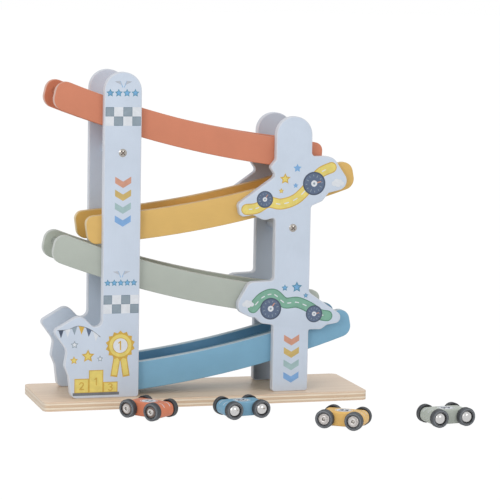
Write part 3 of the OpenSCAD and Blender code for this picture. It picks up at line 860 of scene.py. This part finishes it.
def wheel_profile():
    """Half section of a wheel, from its inner side outwards, and each stretch's material.

    A point is (r, h). 0 is the tyre, 1 the hollow and recess, painted dark as shade, 2 the ridges
    on the side, painted paler as a highlight, 3 the tread with two fine grooves."""
    w, r, floor, round_r, groove = WHEEL_W, WHEEL_R, WHEEL_W - RECESS, 0.9, 0.16
    low, high = (r - round_r, round_r, round_r), (r - round_r, w - round_r, round_r)
    parts = [(1, [(1.75, 0.0), (3.5, 0.0), (3.5, 2.7), (7.9, 2.7), (7.9, 0.3)]),
             (1, arc(*low, -110, -40, 4)), (3, arc(*low, -25, 0, 2))]
    for h in (2.1, 3.8):
        parts.append((3, [(r, h), (r - groove, h + 0.15), (r - groove, h + 0.35), (r, h + 0.5)]))
    parts += [(3, arc(*high, 0, 30, 3)), (0, arc(*high, 42, 70, 3)), (0, [(7.85, w - 0.05)]),
              (2, [(7.7, w + 0.08), (7.25, w + 0.08)]), (1, [(7.1, w - 0.3), (6.75, w - 0.3)]),
              (2, [(6.6, w), (6.35, w - 0.02)]),
              (1, [(6.3, w - 0.3), (6.25, floor), (1.75, floor), (1.75, 0.0)])]
    points = [(p, kind) for kind, stretch in parts for p in stretch]
    return [p for p, kind in points], [kind for p, kind in points[1:]]


def dome_profile(d, h, n=14):
    """A spherical cap d across and h high that stands on h = 0, closed below.

    Its sphere's radius is (d^2 / 4 + h^2) / 2h."""
    big = (d * d / 4 + h * h) / (2 * h)
    t = math.asin(d / 2 / big) * (1 - np.arange(1, n) / n)
    bow = zip(big * np.sin(t), h - big + big * np.cos(t))
    return [(0, 0), (d / 2 - 0.1, 0), (d / 2, 0.1), *bow, (0, h)]


def cap_profile():
    """Section of a push-on cap: a flat ring with two grooves round a raised boss with a hole."""
    bore = 1.74
    return [(bore, 0), (5.35, 0), (5.45, 0.1), (5.45, 0.75), (5.25, 0.92), (4.85, 0.92),
            (4.7, 0.6), (4.35, 0.6), (4.2, 0.92), (3.6, 0.95), (3.45, 1.1), (3.3, 1.66),
            (3.05, 1.8), (2.1, 1.8), (bore, 1.55), (bore, 0)]


def car_side():
    """A car's side view round the middle between its axles: a rectangle with round corners."""
    front, rear = WHEELBASE / 2 + NOSE - END_R, -WHEELBASE / 2 - TAIL + END_R
    half = BODY_H / 2 - END_R
    return np.concatenate([arc(front, -half, END_R, -90, 0, 8), arc(front, half, END_R, 0, 90, 8),
                           arc(rear, half, END_R, 90, 180, 8),
                           arc(rear, -half, END_R, 180, 270, 8)])


def patch_mesh(name, strips, mats, place):
    """Printed strips on a car: each a material slot and the rows of its left and right points.

    Face i of a strip joins the points i and i + 1 of both rows."""
    verts, faces, slots, base = [], [], [], 0
    for slot, left, right in strips:
        n = len(left)
        i = base + np.arange(n - 1)
        verts += [left, right]
        faces += np.stack([i, n + i, n + i + 1, i + 1], 1).tolist()
        slots += [slot] * (n - 1)
        base += 2 * n
    return build(name, moved(np.concatenate(verts), place), faces, mats, slots)


def car_prints(name, number, place):
    """A white disc with a number on top and two thin stripes over the front end.

    The disc and its ring are rows (r cos t, r sin t) for t all round, a stroke of the number is a
    rectangle, and a stripe follows the body's front end round."""
    top = BODY_H / 2 + PRINT_LIFT
    white, dark = 0, 1
    t = np.linspace(0, 2 * math.pi, 49)
    unit = np.column_stack([np.cos(t), np.sin(t), 0 * t])
    level = np.array([0, 0, top])
    strips = [(white, unit * outer + level, unit * inner + level)
              for outer, inner in ((8.7, 8.1), (7.3, 0.0))]
    over, stroke, reach = 0.04, 0.65, 0.5
    for shift in (-2.5, 2.5):
        pts = np.array(DIGITS[number]) * 1.05 + (shift, 0)
        for p, q in zip(pts, pts[1:]):
            d = (q - p) / np.linalg.norm(q - p)
            side = np.array((-d[1], d[0])) * stroke
            ends = np.array([p - d * reach, q + d * reach])
            strips.append((dark, *(np.column_stack([ends + way, [top + over] * 2])
                                   for way in (side, -side))))
    front, up, r = WHEELBASE / 2 + NOSE - END_R, BODY_H / 2 - END_R, END_R + PRINT_LIFT
    a = np.linspace(0, math.radians(62), 12)
    x, z = np.append(front - 1.0, front + r * np.sin(a)), np.append(top, up + r * np.cos(a))
    for middle in (-4.6, 4.6):
        strips.append((white, *(np.column_stack([x, 0 * x + y, z])
                                for y in (middle + 0.42, middle - 0.42))))
    return patch_mesh(name, strips, (INK["white"], INK["ink"]), place)


def axle_end(key, end, to, body, seat):
    """The push-on cap at one end of an axle, or the domed head at the other with its shaft."""
    name = f"{key}_car_{end}"
    if to == -1:
        marks = cap_marks(key, end)
        ob = revolve(name + "_cap_ring", cap_profile(), seat, (CAP, NICKEL_SHADE), marks)
        stands_for(ob, name + "_cap", body)
        return
    dome = dome_profile(DOME_D, DOME_H)
    raised = seat @ Matrix.Translation((0, 0, DOME_SEAT))
    ob = revolve(name + "_axle_dome", dome, raised, (CHROME,))
    stands_for(ob, name + "_axle", body)
    length = 2 * HUB_FLOOR + 1.0
    prof = [(0, -0.3), (0.9, -0.2), (1.5, 0.1), (1.7, 0.4), (1.7, length), (0, length)]
    start = seat @ Matrix.Translation((0, 0, -length))
    shaft = revolve(name + "_axle_shaft", prof, start, (STEEL,))
    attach(shaft, body)


for number, key in enumerate(("terracotta", "blue", "mustard", "sage"), 1):
    front, rear = (np.array(JOINT[f"{key}_{end}_spin"]["pos_m"]) * 1000
                   for end in ("front", "rear"))
    heading = math.atan2(front[1] - rear[1], front[0] - rear[0])
    turned = Matrix.Rotation(heading, 4, "Z")
    place = Matrix.Translation(((front + rear) / 2).tolist()) @ turned
    ob = slab(key + "_car_wood", car_side(), -BODY_W / 2, BODY_W / 2, CAR_EDGE_R, (CAR[key],),
              place, steps=6)
    stands_for(ob, key + "_car_body", key + "_car")
    marks = car_prints(key + "_car_marks", str(number), place)
    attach(marks, key + "_car")
    for end, pos in (("front", front), ("rear", rear)):
        body = f"{key}_{end}_wheelset"
        for to, label in ((1, "left"), (-1, "right")):
            out = (Matrix.Translation(pos.tolist()) @ turned
                   @ Matrix.Rotation(-to * math.pi / 2, 4, "X"))
            node = f"{key}_car_{end}_{label}_wheel"
            prof, kinds = wheel_profile()
            ob = revolve(node + "_tyre", prof, out @ Matrix.Translation((0, 0, WHEEL_IN)),
                         (TYRE, HUB, RIDGE_HIGHLIGHT, TREAD), kinds, sharp=50.0)
            stands_for(ob, node, body)
            axle_end(key, end, to, body, out @ Matrix.Translation((0, 0, HUB_FLOOR)))


# ---------------------------------------------------------------- floor, light, camera

def seen_directly(tree):
    """1 for rays from the camera, from gloss and through glass, else 0."""
    path = tree.nodes.new("ShaderNodeLightPath")
    total = path.outputs["Is Camera Ray"]
    for kind in ("Is Glossy Ray", "Is Transmission Ray"):
        plus = tree.nodes.new("ShaderNodeMath")
        plus.operation, plus.use_clamp = "ADD", True
        tree.links.new(total, plus.inputs[0])
        tree.links.new(path.outputs[kind], plus.inputs[1])
        total = plus.outputs[0]
    return total


def floor():
    """A large pale floor just under the object, nearly white to the camera, with soft shadows."""
    half, z, glow_share, glow_strength = 30.0, -0.0002, 0.93, 1.05
    me = bpy.data.meshes.new("floor")
    me.from_pydata([(-half, -half, z), (half, -half, z), (half, half, z), (-half, half, z)], [],
                   [(0, 1, 2, 3)])
    g = Graph("floor_white")
    white = (1.0, 1.0, 1.0)
    g.done(g.tint(g.noise(60.0, 2.0), white, 0.83, 0.85), 0.9, Specular_IOR_Level=0.1)
    glow = g.node("ShaderNodeEmission")
    g.feed(glow.inputs["Strength"], glow_strength)
    both = g.node("ShaderNodeMixShader")
    share = g.compute("MULTIPLY", seen_directly(g.tree), glow_share)
    for socket, value in zip(both.inputs, (share, g.bsdf.outputs[0], glow.outputs[0])):
        g.feed(socket, value)
    g.feed(g.tree.nodes["Material Output"].inputs["Surface"], both.outputs[0])
    me.materials.append(g.mat)
    ob = bpy.data.objects.new("floor", me)
    bpy.context.scene.collection.objects.link(ob)


def world():
    """A room that is white to look at and, for light, a pale cool grey."""
    w = bpy.data.worlds.new("room")
    w.use_nodes = True
    t = w.node_tree
    light, white = t.nodes["Background"], t.nodes.new("ShaderNodeBackground")
    for background, colour, strength in ((light, (0.93, 0.96, 1.0, 1), 0.85),
                                         (white, (1, 1, 1, 1), 1.0)):
        background.inputs["Color"].default_value = colour
        background.inputs["Strength"].default_value = strength
    mix = t.nodes.new("ShaderNodeMixShader")
    for socket, value in zip(mix.inputs, (seen_directly(t), light.outputs[0], white.outputs[0])):
        t.links.new(value, socket)
    t.links.new(mix.outputs[0], t.nodes["World Output"].inputs["Surface"])
    bpy.context.scene.world = w


def area(name, at, target, size, power):
    """A rectangular light at a place in metres, turned to its target."""
    light = bpy.data.lights.new(name, "AREA")
    light.shape = "RECTANGLE"
    light.size, light.size_y = size
    light.energy = power
    ob = bpy.data.objects.new(name, light)
    bpy.context.scene.collection.objects.link(ob)
    ob.location = at
    way = (Matrix.Translation(target).translation - ob.location).normalized()
    ob.rotation_euler = way.to_track_quat("-Z", "Y").to_euler()


def camera(yaw, pitch, roll, focal, at, sensor=36.0, picture=500):
    """A camera turned to the right of Y by yaw, down by pitch and rolled by roll, in degrees.

    Its focal length is in pixels of a picture that many pixels wide."""
    (cy, sy), (cp, sp), (cr, sr) = ((math.cos(math.radians(a)), math.sin(math.radians(a)))
                                    for a in (yaw, pitch, roll))
    ahead = np.array([sy * cp, cy * cp, -sp])
    level = np.array([cy, -sy, 0.0])
    up = np.cross(level, ahead)
    axes = np.column_stack([level * cr + up * sr, up * cr - level * sr, -ahead])
    data = bpy.data.cameras.new("camera")
    data.sensor_width = sensor
    data.lens = focal * sensor / picture
    data.clip_start, data.clip_end = 0.1, 100.0
    cam = bpy.data.objects.new("camera", data)
    bpy.context.scene.collection.objects.link(cam)
    cam.matrix_world = Matrix.Translation(at) @ Matrix(axes.tolist()).to_4x4()
    bpy.context.scene.camera = cam


floor()
world()
area("key", (-1.95, -2.25, 1.4), (0, 0, 0.12), (1.0, 1.0), 18.5)
area("fill", (0.9, -2.5, 1.2), (0, 0, 0.12), (0.7, 0.7), 6)
area("top", (0.0, 0.2, 2.4), (0, 0, 0.1), (2.0, 1.6), 2.5)
# Fitted to the photograph by least squares
camera(16.688, 6.880, 1.063, 2199.8, (-0.60099, -2.19537, 0.43038))
bpy.context.scene.view_settings.view_transform = "Standard"
